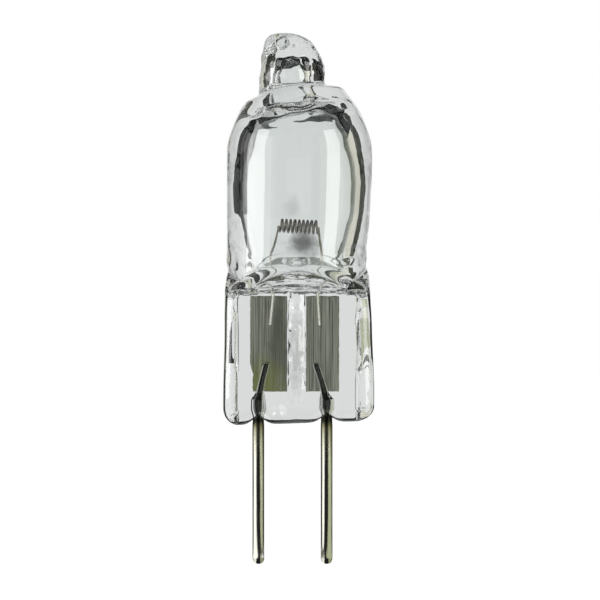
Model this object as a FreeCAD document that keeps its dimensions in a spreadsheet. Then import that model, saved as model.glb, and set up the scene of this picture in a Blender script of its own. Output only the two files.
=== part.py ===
import FreeCAD, Part
import math
import os

import Sketcher
from FreeCAD import Vector

# Halogen capsule bulb with two contact pins, in millimetres.
# Z points along the lamp towards the exhaust tip and X runs across the two pins.
# The origin lies midway between the pins, on the plane of the seal's foot.

doc = FreeCAD.newDocument("halogen_capsule_bulb")
dims = doc.addObject("Spreadsheet::Sheet", "dims")

SIZES = [
    ("pin_diameter", 0.70),
    ("pin_pitch", 4.00),
    ("pin_length", 8.30),
    ("pin_neck_height", 1.35),
    ("tongue_width", 0.34),
    ("tongue_lean", 0.62),
    ("weld_height", 3.50),
    ("foil_width", 2.08),
    ("foil_length", 5.58),
    ("foil_thickness", 0.04),
    ("foil_height", 1.85),
    ("foil_pitch", 3.16),
    ("foil_shift", 0.20),
    ("wire_diameter", 0.12),
    ("coil_diameter", 0.72),
    ("coil_pitch", 0.244),
    ("coil_turns", 9.5),
    ("coil_height", 11.46),
    ("coil_shift", 0.37),
    ("leg_spread", 3.05),
    ("leg_shift", 0.18),
    ("leg_end_height", 5.75),
    ("glass_shift", 0.37),
    ("seal_height", 7.78),
    ("seal_foot_width", 8.83),
    ("seal_head_width", 8.48),
    ("bead_thickness", 3.30),
    ("bead_width", 0.85),
    ("web_thickness", 2.10),
    ("rib_height", 0.14),
    ("seal_corner", 0.90),
    ("foot_round", 0.80),
    ("foot_notch", 0.30),
    ("jaw_draft", 0.30),
    ("shoulder_height", 2.00),
    ("bulb_diameter", 8.44),
    ("bulb_wall", 0.88),
    ("belly_height", 15.85),
    # The chamber's ceiling, counted from the belly.
    ("ceiling_height", 2.15),
    ("floor_height", 8.65),
    ("floor_width", 5.20),
    ("floor_gap", 0.60),
    ("floor_dome", 1.10),
    ("tip_diameter", 3.88),
    # The tip's root in the dome, counted from the belly.
    ("tip_root_height", 2.85),
    ("tip_bore", 1.76),
    ("tip_shift", -0.02),
    ("tip_lean", 0.34),
    ("tip_height", 22.72),
    ("tip_closure", 1.70),
    ("pin_gap", 0.10),
    ("lead_gap", 0.03),
    ("mouth_diameter", 1.50),
    ("mouth_depth", 0.55),
]

for row, (alias, number) in enumerate(SIZES, start=1):
    dims.set("A%d" % row, alias)
    dims.set("B%d" % row, str(number))
    dims.setAlias("B%d" % row, alias)
doc.recompute()


def size(alias):
    """The number in one cell of the sheet."""
    return float(getattr(dims, alias))


def bind(thing, **formulas):
    """Bind properties to the sheet; a double underscore stands for the dot of a sub-property."""
    for name, formula in formulas.items():
        thing.setExpression(name.replace("__", "."), formula)


def new_body(name, x="0", z="0"):
    """A body that stands at x, z in the lamp's frame."""
    body = doc.addObject("PartDesign::Body", name)
    body.Label = name
    bind(body, Placement__Base__x=x, Placement__Base__z=z)
    return body


def origin_plane(body, role):
    """One of the body's own three planes."""
    return next(plane for plane in body.Origin.OriginFeatures if plane.Role == role)


def attach(feature, body, role, x, y, offset):
    """Lay a sketch or a primitive on one of the body's planes, moved in it and along its normal."""
    feature.AttachmentSupport = [(origin_plane(body, role), "")]
    feature.MapMode = "FlatFace"
    bind(
        feature,
        AttachmentOffset__Base__x=x,
        AttachmentOffset__Base__y=y,
        AttachmentOffset__Base__z=offset,
    )


def new_sketch(body, name, role="XY_Plane", x="0", y="0", offset="0"):
    """An empty sketch on one of the body's planes."""
    sketch = body.newObject("Sketcher::SketchObject", name)
    attach(sketch, body, role, x, y, offset)
    return sketch


def primitive(body, kind, name, role="XY_Plane", x="0", y="0", z="0", **sizes):
    """An additive or subtractive primitive that stands on one of the body's planes."""
    feature = body.newObject("PartDesign::" + kind, name)
    attach(feature, body, role, x, y, z)
    bind(feature, **sizes)
    return feature


def dimension(sketch, name, formula, kind, *places):
    """Add one driving dimension to a sketch and bind it to the sheet."""
    index = sketch.addConstraint(Sketcher.Constraint(kind, *places))
    sketch.renameConstraint(index, name)
    sketch.setExpression("Constraints." + name, formula)


def circle(body, name, radius, x="0", y="0", z="0"):
    """A circle in a level plane."""
    sketch = new_sketch(body, name, x=x, y=y, offset=z)
    sketch.addGeometry(Part.Circle(Vector(0, 0, 0), Vector(0, 0, 1), 1.0))
    sketch.addConstraint(Sketcher.Constraint("Coincident", 0, 3, -1, 1))
    dimension(sketch, "radius", radius, "Radius", 0, 1.0)
    return sketch


def ellipse(body, name, half_x, half_y, z):
    """An ellipse in a level plane, longer across the pins than through the seal."""
    sketch = new_sketch(body, name, offset=z)
    sketch.addGeometry(Part.Ellipse(Vector(0, 0, 0), 4.0, 2.0))
    sketch.exposeInternalGeometry(0)
    sketch.addConstraint(Sketcher.Constraint("Coincident", 0, 3, -1, 1))
    sketch.addConstraint(Sketcher.Constraint("Horizontal", 1))
    dimension(sketch, "length", "2 * (%s)" % half_x, "Distance", 1, 8.0)
    dimension(sketch, "depth", "2 * (%s)" % half_y, "Distance", 2, 4.0)
    return sketch


def rounded_rectangle(body, name, width, height, radius, **place):
    """A rectangle with round corners about the sketch's own origin."""
    sketch = new_sketch(body, name, **place)
    w, h, r = 4.0, 2.0, 0.5
    axis = Vector(0, 0, 1)
    corners = [(w - r, h - r), (r - w, h - r), (r - w, r - h), (w - r, r - h)]
    for turn, (cx, cy) in enumerate(corners):
        arc = Part.Circle(Vector(cx, cy, 0), axis, r)
        start = turn * math.pi / 2
        sketch.addGeometry(Part.ArcOfCircle(arc, start, start + math.pi / 2))
    sides = [
        ((w - r, h), (r - w, h)),
        ((-w, h - r), (-w, r - h)),
        ((r - w, -h), (w - r, -h)),
        ((w, r - h), (w, h - r)),
    ]
    for (ax, ay), (bx, by) in sides:
        sketch.addGeometry(Part.LineSegment(Vector(ax, ay, 0), Vector(bx, by, 0)))
    for turn in range(4):
        sketch.addConstraint(Sketcher.Constraint("Tangent", turn, 2, 4 + turn, 1))
        sketch.addConstraint(Sketcher.Constraint("Tangent", 4 + turn, 2, (turn + 1) % 4, 1))
    for turn in range(1, 4):
        sketch.addConstraint(Sketcher.Constraint("Equal", 0, turn))
    for level, upright in [(4, 5), (6, 7)]:
        sketch.addConstraint(Sketcher.Constraint("Horizontal", level))
        sketch.addConstraint(Sketcher.Constraint("Vertical", upright))
    sketch.addConstraint(Sketcher.Constraint("Symmetric", 0, 3, 2, 3, -1, 1))
    dimension(sketch, "width", width, "DistanceX", 5, 1, 7, 1, 2 * w)
    dimension(sketch, "height", height, "DistanceY", 6, 1, 4, 1, 2 * h)
    dimension(sketch, "corner", radius, "Radius", 0, r)
    return sketch


def loft(body, kind, name, sections, ruled=False):
    """Run one additive or subtractive loft through sketches in order."""
    feature = body.newObject("PartDesign::%sLoft" % kind, name)
    feature.Profile = sections[0]
    feature.Sections = sections[1:]
    feature.Ruled = ruled
    return feature


def edges_at_height(shape, height, reach=1e-4):
    """Names of the edges that lie in one level plane."""
    return [
        "Edge%d" % number
        for number, edge in enumerate(shape.Edges, start=1)
        if abs(edge.BoundBox.ZMin - height) < reach and abs(edge.BoundBox.ZMax - height) < reach
    ]


# Heights and half sizes that several pieces share.
WAIST_HEIGHT = "dims.seal_height + dims.shoulder_height"
BULB_RADIUS = "dims.bulb_diameter / 2"
CEILING = "dims.belly_height + dims.ceiling_height"
PINCH_TOP = "dims.seal_height * 0.95"
FOIL_FRONT = "-dims.foil_thickness / 2"
STEM_TOP = "-dims.pin_gap"
PIN_NECK = "dims.pin_diameter / 2 * 0.94"
WEB_HALF = "dims.web_thickness / 2"
BEAD_HALF = "dims.bead_thickness / 2"


def bulb_profile(body, name, inset, foot, ceiling=None):
    """Half outline of the blown bulb: barrel and round dome, cut off level where it has a ceiling."""
    wall = size("bulb_wall") if inset != "0" else 0.0
    belly = size("bulb_diameter") / 2 - wall
    low = size("seal_height")
    mid = size("belly_height")
    rise = size("ceiling_height") if ceiling else belly
    reach = math.sqrt(belly ** 2 - rise ** 2)

    sketch = new_sketch(body, name, role="XZ_Plane")
    dome = Part.Circle(Vector(0, mid, 0), Vector(0, 0, 1), belly)
    outline = [
        Part.LineSegment(Vector(0, low, 0), Vector(belly, low, 0)),
        Part.LineSegment(Vector(belly, low, 0), Vector(belly, mid, 0)),
        Part.ArcOfCircle(dome, 0, math.atan2(rise, reach)),
    ]
    if ceiling:
        outline.append(Part.LineSegment(Vector(reach, mid + rise, 0), Vector(0, mid + rise, 0)))
    outline.append(Part.LineSegment(Vector(0, mid + rise, 0), Vector(0, low, 0)))
    for edge in outline:
        sketch.addGeometry(edge)
    last = len(outline) - 1
    for edge in range(last + 1):
        sketch.addConstraint(Sketcher.Constraint("Coincident", edge, 2, (edge + 1) % (last + 1), 1))
    for kind, places in [
        ("Horizontal", (0,)),
        ("Vertical", (1,)),
        ("Vertical", (last,)),
        ("PointOnObject", (0, 1, -2)),
        ("PointOnObject", (2, 3, -2)),
        ("Horizontal", (2, 1, 2, 3)),
    ]:
        sketch.addConstraint(Sketcher.Constraint(kind, *places))
    dimension(sketch, "belly", BULB_RADIUS + " - " + inset, "DistanceX", -1, 1, 1, 2, belly)
    dimension(sketch, "low", foot, "DistanceY", -1, 1, 1, 1, low)
    dimension(sketch, "mid", "dims.belly_height", "DistanceY", -1, 1, 1, 2, mid)
    if ceiling:
        sketch.addConstraint(Sketcher.Constraint("Horizontal", 3))
        dimension(sketch, "ceiling", ceiling, "DistanceY", -1, 1, 3, 2, mid + rise)
    return sketch


def revolve(body, kind, name, sketch):
    """Turn a half outline once about the lamp's axis."""
    feature = body.newObject("PartDesign::" + kind, name)
    feature.Profile = sketch
    feature.ReferenceAxis = (sketch, ["V_Axis"])
    feature.Angle = 360.0
    return feature


# The glass before its metal is sealed in: bulb, shoulder, pinch seal and exhaust tip.
glass = new_body("glass_blank", x="dims.glass_shift")

revolve(
    glass,
    "Revolution",
    "bulb",
    bulb_profile(glass, "bulb_outline", "0", PINCH_TOP),
)


def slope_profile(body, name):
    """What the jaws press away in front: an even double bend from the barrel in to the seal."""
    outer = size("bulb_diameter") / 2
    inner = size("bead_thickness") / 2
    foot = size("seal_height")
    top = foot + size("shoulder_height")
    low = foot / 2
    turn = 2 * math.atan2(outer - inner, top - foot)
    bend = (top - foot) / (2 * math.sin(turn))
    clear = outer + bend

    sketch = new_sketch(body, name, role="YZ_Plane")
    axis = Vector(0, 0, 1)
    upper = Part.Circle(Vector(outer - bend, top, 0), axis, bend)
    lower = Part.Circle(Vector(inner + bend, foot, 0), axis, bend)
    for edge in [
        Part.ArcOfCircle(upper, -turn, 0),
        Part.ArcOfCircle(lower, math.pi - turn, math.pi),
        Part.LineSegment(Vector(inner, foot, 0), Vector(inner, low, 0)),
        Part.LineSegment(Vector(inner, low, 0), Vector(clear, low, 0)),
        Part.LineSegment(Vector(clear, low, 0), Vector(clear, top, 0)),
        Part.LineSegment(Vector(clear, top, 0), Vector(outer, top, 0)),
    ]:
        sketch.addGeometry(edge)
    for kind, places in [
        ("Tangent", (0, 1, 1, 1)),
        ("Tangent", (1, 2, 2, 1)),
        ("Coincident", (2, 2, 3, 1)),
        ("Coincident", (3, 2, 4, 1)),
        ("Coincident", (4, 2, 5, 1)),
        ("Coincident", (5, 2, 0, 2)),
        ("Vertical", (2,)),
        ("Horizontal", (3,)),
        ("Vertical", (4,)),
        ("Horizontal", (5,)),
        ("Horizontal", (0, 2, 0, 3)),
        ("Equal", (0, 1)),
    ]:
        sketch.addConstraint(Sketcher.Constraint(kind, *places))
    dimension(sketch, "outer", BULB_RADIUS, "DistanceX", -1, 1, 0, 2, outer)
    dimension(sketch, "inner", BEAD_HALF, "DistanceX", -1, 1, 2, 1, inner)
    dimension(sketch, "top", WAIST_HEIGHT, "DistanceY", -1, 1, 0, 2, top)
    dimension(sketch, "foot", "dims.seal_height", "DistanceY", -1, 1, 2, 1, foot)
    dimension(sketch, "low", "dims.seal_height / 2", "DistanceY", -1, 1, 2, 2, low)
    dimension(sketch, "clear", "dims.bulb_diameter", "DistanceX", -1, 1, 3, 2, clear)
    return sketch


def mirror_to_back(body, feature, name):
    """Repeat a cut at the front of the seal on its back."""
    pair = body.newObject("PartDesign::Mirrored", name)
    pair.Originals = [feature]
    pair.MirrorPlane = (origin_plane(body, "XZ_Plane"), [""])
    body.Tip = pair
    doc.recompute()


slope = glass.newObject("PartDesign::Pocket", "slope_front")
slope.Profile = slope_profile(glass, "slope_outline")
slope.Midplane = True
bind(slope, Length="2 * dims.bulb_diameter")
mirror_to_back(glass, slope, "slope_pair")


def pinch_section(name, width, thickness, corner, z, inset="0"):
    """One level section of the pinch seal, drawn in all round by an inset."""
    return rounded_rectangle(
        glass,
        name,
        "%s - 2 * %s" % (width, inset),
        "%s - 2 * %s" % (thickness, inset),
        "%s - %s" % (corner, inset),
        offset=z,
    )


FOOT = ("dims.seal_foot_width", "dims.bead_thickness", "dims.seal_corner")
HEAD = ("dims.seal_head_width", "dims.bead_thickness", "dims.seal_corner")
CHEEK = ("dims.bulb_diameter * 0.97", "dims.bead_thickness * 0.72", "dims.seal_corner * 0.8")
loft(
    glass,
    "Additive",
    "pinch",
    [
        pinch_section("foot_end", *FOOT, "0", "dims.foot_round * 0.65"),
        pinch_section("foot_turn", *FOOT, "dims.foot_round * 0.25", "dims.foot_round * 0.22"),
        pinch_section("foot_top", *FOOT, "dims.foot_round"),
        pinch_section("pinch_head", *HEAD, PINCH_TOP),
        pinch_section("pinch_cheek", *CHEEK, "dims.seal_height + dims.shoulder_height * 0.46"),
    ],
    ruled=True,
)

jaw_width = "dims.seal_head_width - 2 * dims.bead_width"
jaw_middle = "dims.seal_height / 2 - 1"
jaw_height = "dims.seal_height + 2"
jaw = loft(
    glass,
    "Subtractive",
    "jaw_front",
    [
        rounded_rectangle(
            glass,
            "jaw_face",
            jaw_width,
            jaw_height,
            "0.35",
            role="XZ_Plane",
            y=jaw_middle,
            offset=WEB_HALF,
        ),
        rounded_rectangle(
            glass,
            "jaw_mouth",
            jaw_width + " + 4 * dims.jaw_draft",
            jaw_height + " + 4 * dims.jaw_draft",
            "0.35 + dims.jaw_draft",
            role="XZ_Plane",
            y=jaw_middle,
            offset=BEAD_HALF + " * 2 - " + WEB_HALF,
        ),
    ],
    ruled=True,
)
mirror_to_back(glass, jaw, "jaw_pair")

for word, side in [("left", -1), ("right", 1)]:
    primitive(
        glass,
        "SubtractiveCylinder",
        "notch_" + word,
        role="XZ_Plane",
        x="%d * dims.pin_pitch / 2 - dims.glass_shift" % side,
        y="-1.5 * dims.foot_notch",
        z="-dims.bead_thickness",
        Radius="2.5 * dims.foot_notch",
        Height="2 * dims.bead_thickness",
    )

primitive(
    glass,
    "AdditiveCylinder",
    "rib",
    z="dims.foot_round",
    Radius=WEB_HALF + " + dims.rib_height",
    Height="dims.seal_height - dims.foot_round",
)

TIP_X = "dims.tip_shift - dims.glass_shift"
TIP_RADIUS = "dims.tip_diameter / 2"
loft(
    glass,
    "Additive",
    "tip",
    [
        circle(glass, "tip_root", TIP_RADIUS, x=TIP_X, z="dims.belly_height + dims.tip_root_height"),
        circle(
            glass,
            "tip_neck",
            TIP_RADIUS + " * 0.965",
            x=TIP_X,
            z="dims.tip_height - dims.tip_closure",
        ),
        circle(
            glass,
            "tip_turn",
            TIP_RADIUS + " * 0.78",
            x=TIP_X + " - dims.tip_lean * 0.62",
            z="dims.tip_height - dims.tip_closure * 0.36",
        ),
        circle(
            glass,
            "tip_end",
            TIP_RADIUS + " * 0.44",
            x=TIP_X + " - dims.tip_lean",
            z="dims.tip_height",
        ),
    ],
    ruled=True,
)

revolve(
    glass,
    "Groove",
    "chamber",
    bulb_profile(glass, "chamber_outline", "dims.bulb_wall", WAIST_HEIGHT, CEILING),
)

loft(
    glass,
    "Subtractive",
    "chamber_floor",
    [
        circle(glass, "floor_top", BULB_RADIUS + " - dims.bulb_wall", z=WAIST_HEIGHT),
        ellipse(
            glass,
            "floor_upper",
            BULB_RADIUS + " - dims.bulb_wall * 1.05",
            BULB_RADIUS + " * 0.82 - dims.bulb_wall * 1.1",
            "dims.seal_height + dims.shoulder_height * 0.64",
        ),
        ellipse(
            glass,
            "floor_end",
            "dims.floor_width / 2",
            "dims.floor_gap / 2",
            "dims.floor_height",
        ),
    ],
    ruled=True,
)

ARCH_RADIUS = "(dims.floor_width * dims.floor_width / 4 + dims.floor_dome * dims.floor_dome)"
ARCH_RADIUS += " / (2 * dims.floor_dome)"
primitive(
    glass,
    "AdditiveCylinder",
    "floor_arch",
    role="XZ_Plane",
    y="dims.floor_height + dims.floor_dome - " + ARCH_RADIUS,
    z="-" + WEB_HALF + " * 0.9",
    Radius=ARCH_RADIUS,
    Height="dims.web_thickness * 0.9",
)

BORE_END = "dims.tip_height - dims.tip_closure"
primitive(
    glass,
    "SubtractiveCylinder",
    "tip_bore",
    x=TIP_X,
    z=CEILING + " - dims.tip_bore / 4",
    Radius="dims.tip_bore / 2",
    Height="%s - dims.tip_bore * 0.05 - (%s)" % (BORE_END, CEILING),
)
primitive(
    glass,
    "SubtractiveCone",
    "tip_bore_end",
    x=TIP_X,
    z=BORE_END + " - dims.tip_bore * 0.3",
    Radius1="dims.tip_bore / 2",
    Radius2="dims.tip_bore / 2 * 0.35",
    Height="dims.tip_bore * 0.3",
)
doc.recompute()


def foil_centre(side):
    """Where a foil's middle line stands: side is -1 on the left and 1 on the right."""
    return "dims.foil_shift + %d * dims.foil_pitch / 2" % side


def new_box(name, x, y, z, length, width, height):
    """A box from its lowest corner."""
    box = doc.addObject("Part::Box", name)
    box.Label = name
    bind(box, Length=length, Width=width, Height=height)
    bind(box, Placement__Base__x=x, Placement__Base__y=y, Placement__Base__z=z)
    return box


def new_foil(name, side):
    """One sealing strip, with its middle plane on the seal's middle plane."""
    return new_box(
        name,
        foil_centre(side) + " - dims.foil_width / 2",
        FOIL_FRONT,
        "dims.foil_height",
        "dims.foil_width",
        "dims.foil_thickness",
        "dims.foil_length",
    )


def pin_stem(name, side, gap, low):
    """A body with the round stem of one pin, or with its bore where a gap is given."""
    body = new_body(name, x="%d * dims.pin_pitch / 2" % side)
    primitive(
        body,
        "AdditiveCylinder",
        name + "_stem",
        z=low,
        Radius="dims.pin_diameter / 2 + " + gap,
        Height="%s - (%s)" % (STEM_TOP, low),
    )
    return body


def add_tongue(body, side, gap):
    """Thin the pin, from just below the foot, to the tongue that leans in over its foil."""
    name = body.Name
    radius = "dims.tongue_width / 2 + " + gap
    loft(
        body,
        "Additive",
        name + "_tongue",
        [
            circle(body, name + "_root", PIN_NECK + " + " + gap, z=STEM_TOP),
            circle(body, name + "_neck", PIN_NECK + " * 0.95 + " + gap, z="dims.pin_neck_height"),
            circle(
                body,
                name + "_throat",
                radius + " * 1.05",
                x="%d * dims.tongue_lean * 0.2" % -side,
                z="dims.foil_height",
            ),
            circle(
                body,
                name + "_weld",
                radius,
                x="%d * dims.tongue_lean" % -side,
                z="dims.weld_height + " + gap,
            ),
        ],
        ruled=True,
    )


def new_pin(name, side):
    """One contact pin: bevelled stem, tongue, and the flat on which the foil is welded."""
    body = pin_stem(name, side, "0", "-dims.pin_length")
    doc.recompute()
    stem = body.Tip
    end = body.newObject("PartDesign::Chamfer", name + "_end")
    end.Base = (stem, edges_at_height(stem.Shape, -size("pin_length")))
    bind(end, Size="dims.pin_diameter * 0.22")
    add_tongue(body, side, "0")
    primitive(
        body,
        "SubtractiveBox",
        name + "_flat",
        x="-dims.pin_pitch / 2",
        y=FOIL_FRONT,
        z="dims.foil_height",
        Length="dims.pin_pitch",
        Width="dims.pin_diameter",
        Height="dims.foil_length",
    )
    return body


def new_pin_bore(name, side):
    """The space that one pin takes in the glass, with a gap and a flared mouth."""
    body = pin_stem(name, side, "dims.pin_gap", "-dims.mouth_depth")
    add_tongue(body, side, "dims.pin_gap")
    primitive(
        body,
        "AdditiveCone",
        name + "_mouth",
        z="-dims.mouth_depth",
        Radius1="dims.mouth_diameter - dims.pin_diameter / 2 - dims.pin_gap",
        Radius2=PIN_NECK + " * 0.95 + dims.pin_gap",
        Height="dims.mouth_depth * 2",
    )
    return body


# The legs stand on the front faces of the foils and rise to the two ends of the coil.
LEG_X = "dims.leg_shift + %d * dims.leg_spread / 2"
LEG_Y = FOIL_FRONT + " - dims.wire_diameter / 2"
LEG_BEND = "dims.floor_height + dims.floor_dome"
COIL_HALF = "dims.coil_pitch * dims.coil_turns / 2"
# The fine wire of the turns is drawn with few sides, to keep the coil light.
WIRE_SIDES = 4


def leg_foot(body, side, gap):
    """The upright foot of one leg, from its end on the foil to the top of the floor's arch."""
    primitive(
        body,
        "AdditiveCylinder",
        "%s_foot_%s" % (body.Name, "left" if side < 0 else "right"),
        x=LEG_X % side,
        y=LEG_Y,
        z="dims.leg_end_height - " + gap,
        Radius="dims.wire_diameter / 2 + " + gap,
        Height=LEG_BEND + " - dims.leg_end_height + " + gap,
    )


def leg_arm(body, side):
    """The free arm of one leg, from the top of its foot to the end of the coil."""
    name = "arm_left" if side < 0 else "arm_right"
    radius = "dims.wire_diameter / 2"
    bend = circle(body, name + "_bend", radius, x=LEG_X % side, y=LEG_Y, z=LEG_BEND)
    end = circle(
        body,
        name + "_end",
        radius,
        x="dims.coil_shift + %d * %s" % (side, COIL_HALF),
        y="%d * dims.coil_diameter / 2" % side,
        z="dims.coil_height",
    )
    loft(body, "Additive", name, [bend, end], ruled=True)


def new_filament(name):
    """The tungsten wire: a left-handed coil, and two legs that lie on the front faces of the foils."""
    body = new_body(name)
    turn = new_sketch(body, "turn_section", x="dims.coil_shift", offset="dims.coil_height")
    radius = size("wire_diameter") / 2
    start_x = -size("coil_pitch") * size("coil_turns") / 2
    start_y = -size("coil_diameter") / 2
    middle = Vector(start_x, start_y, 0)
    corners = [
        middle + Vector(math.cos(step), math.sin(step), 0) * radius
        for step in (2 * math.pi * corner / WIRE_SIDES for corner in range(WIRE_SIDES))
    ]
    for corner in range(WIRE_SIDES):
        turn.addGeometry(Part.LineSegment(corners[corner], corners[(corner + 1) % WIRE_SIDES]))
    turn.addGeometry(Part.Circle(middle, Vector(0, 0, 1), radius), True)
    for corner in range(WIRE_SIDES):
        after = (corner + 1) % WIRE_SIDES
        turn.addConstraint(Sketcher.Constraint("Coincident", corner, 2, after, 1))
        turn.addConstraint(Sketcher.Constraint("PointOnObject", corner, 1, WIRE_SIDES))
        if corner:
            turn.addConstraint(Sketcher.Constraint("Equal", 0, corner))
    turn.addConstraint(Sketcher.Constraint("Horizontal", 0, 1, WIRE_SIDES, 3))
    dimension(turn, "radius", "dims.wire_diameter / 2", "Radius", WIRE_SIDES, radius)
    dimension(turn, "start", COIL_HALF, "DistanceX", WIRE_SIDES, 3, -1, 1, -start_x)
    dimension(turn, "coil", "dims.coil_diameter / 2", "DistanceY", WIRE_SIDES, 3, -1, 1, -start_y)
    coil = body.newObject("PartDesign::AdditiveHelix", "coil")
    coil.Profile = turn
    coil.ReferenceAxis = (turn, ["H_Axis"])
    coil.Mode = "pitch-turns-angle"
    coil.LeftHanded = True
    bind(coil, Pitch="dims.coil_pitch", Turns="dims.coil_turns")
    for side in (-1, 1):
        leg_arm(body, side)
        leg_foot(body, side, "0")
    return body


def new_leg_bore(name, side):
    """The thin space that one leg takes in the glass, carried on into the open chamber."""
    body = new_body(name)
    leg_foot(body, side, "dims.lead_gap")
    return body


SIDES = [("left", -1), ("right", 1)]
foils = [new_foil("foil_" + word, side) for word, side in SIDES]
pins = [new_pin("pin_" + word, side) for word, side in SIDES]
filament = new_filament("filament")
spaces = [new_pin_bore("pin_bore_" + word, side) for word, side in SIDES]
spaces += [new_leg_bore("leg_bore_" + word, side) for word, side in SIDES]

sealed_in = doc.addObject("Part::MultiFuse", "sealed_in")
sealed_in.Shapes = spaces + foils
envelope = doc.addObject("Part::Cut", "quartz_envelope")
envelope.Label = "quartz_envelope"
envelope.Base = glass
envelope.Tool = sealed_in
doc.recompute()

PIECES = [envelope, filament] + foils + pins

for thing in doc.Objects:
    if "Invalid" in thing.State or "Error" in thing.State:
        raise RuntimeError("%s is not sound: %s" % (thing.Label, thing.State))
for piece in PIECES:
    if piece.Shape.isNull() or not piece.Shape.isValid():
        raise RuntimeError("%s has no sound shape" % piece.Label)
    if len(piece.Shape.Solids) != 1:
        raise RuntimeError("%s has %d solids" % (piece.Label, len(piece.Shape.Solids)))

os.makedirs("parts", exist_ok=True)
for piece in PIECES:
    piece.Shape.exportStep("parts/%s.step" % piece.Label)
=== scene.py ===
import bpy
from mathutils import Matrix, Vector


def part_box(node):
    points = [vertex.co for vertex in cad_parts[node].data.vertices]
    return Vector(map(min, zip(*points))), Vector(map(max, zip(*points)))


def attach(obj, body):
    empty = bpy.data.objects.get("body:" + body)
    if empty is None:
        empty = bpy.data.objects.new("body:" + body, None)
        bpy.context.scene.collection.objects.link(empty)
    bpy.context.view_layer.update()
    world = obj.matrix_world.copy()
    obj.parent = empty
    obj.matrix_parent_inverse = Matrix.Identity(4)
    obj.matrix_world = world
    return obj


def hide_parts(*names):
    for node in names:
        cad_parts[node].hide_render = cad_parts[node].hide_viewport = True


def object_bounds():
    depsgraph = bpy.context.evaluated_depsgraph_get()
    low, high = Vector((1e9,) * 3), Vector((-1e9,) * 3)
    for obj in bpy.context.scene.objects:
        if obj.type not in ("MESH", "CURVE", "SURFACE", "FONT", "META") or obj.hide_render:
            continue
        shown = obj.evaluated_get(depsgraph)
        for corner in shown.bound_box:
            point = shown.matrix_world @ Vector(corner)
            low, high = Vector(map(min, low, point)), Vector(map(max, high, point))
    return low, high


bl_info = {
    "name": "Halogen capsule bulb",
    "version": (1, 0, 0),
    "blender": (4, 5, 0),
    "location": "View3D > Sidebar > Capsule bulb",
    "description": "Builds a clear quartz capsule bulb with its coil, foils and pins, and a studio stage",
    "category": "Object",
}

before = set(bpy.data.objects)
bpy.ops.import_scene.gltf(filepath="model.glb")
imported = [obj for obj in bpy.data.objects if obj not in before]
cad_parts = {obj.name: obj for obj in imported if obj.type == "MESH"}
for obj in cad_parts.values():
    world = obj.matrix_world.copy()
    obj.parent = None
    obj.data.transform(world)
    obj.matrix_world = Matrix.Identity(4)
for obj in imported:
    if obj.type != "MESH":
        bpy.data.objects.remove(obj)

import math

import bmesh
import bpy
import numpy as np
from mathutils import Matrix, Vector, noise

CAD_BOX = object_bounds()
MM = 0.001
SIDES = (("left", -1), ("right", 1))


def linear(code):
    """Linear red, green and blue of an sRGB colour such as #A0B1C2."""
    levels = [int(code[at:at + 2], 16) / 255 for at in (1, 3, 5)]
    return tuple(v / 12.92 if v <= 0.04045 else ((v + 0.055) / 1.055) ** 2.4 for v in levels)


class GlassSettings(bpy.types.PropertyGroup):
    """Sizes and colours of the quartz envelope."""

    bulb_diameter: bpy.props.FloatProperty(
        name="Bulb diameter", description="Width of the barrel", default=8.47 * MM, unit="LENGTH")
    wall: bpy.props.FloatProperty(
        name="Wall", description="Glass thickness of the barrel", default=0.88 * MM, unit="LENGTH")
    seal_width: bpy.props.FloatProperty(
        name="Seal width", description="Width of the pinch seal at its foot",
        default=8.83 * MM, unit="LENGTH")
    bead_thickness: bpy.props.FloatProperty(
        name="Bead thickness", description="Depth of the seal's side beads", default=3.30 * MM, unit="LENGTH")
    web_thickness: bpy.props.FloatProperty(
        name="Web thickness", description="Depth of the seal between its beads",
        default=2.10 * MM, unit="LENGTH")
    colour: bpy.props.FloatVectorProperty(
        name="Glass", description="Tint of clear quartz", default=linear("#F8FBFA"), subtype="COLOR")
    deposit: bpy.props.FloatVectorProperty(
        name="Deposit", description="Grey film under the coil", default=linear("#8C8D8C"), subtype="COLOR")


class WireSettings(bpy.types.PropertyGroup):
    """Sizes and colour of the tungsten wire."""

    wire_diameter: bpy.props.FloatProperty(
        name="Wire", description="Diameter of the wire", default=0.13 * MM, unit="LENGTH")
    coil_diameter: bpy.props.FloatProperty(
        name="Coil", description="Mean diameter of the coil", default=0.72 * MM, unit="LENGTH")
    coil_length: bpy.props.FloatProperty(
        name="Length", description="Length of the coil along its axis", default=2.318 * MM, unit="LENGTH")
    turns: bpy.props.FloatProperty(
        name="Turns", description="Turns of the coil, from leg to leg", default=9.5)
    colour: bpy.props.FloatVectorProperty(
        name="Tungsten", description="Colour of the burnt wire", default=linear("#86827B"), subtype="COLOR")
    clean: bpy.props.FloatVectorProperty(
        name="Clean wire", description="Colour of the wire in the seal", default=linear("#F4F0E6"),
        subtype="COLOR")


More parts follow.
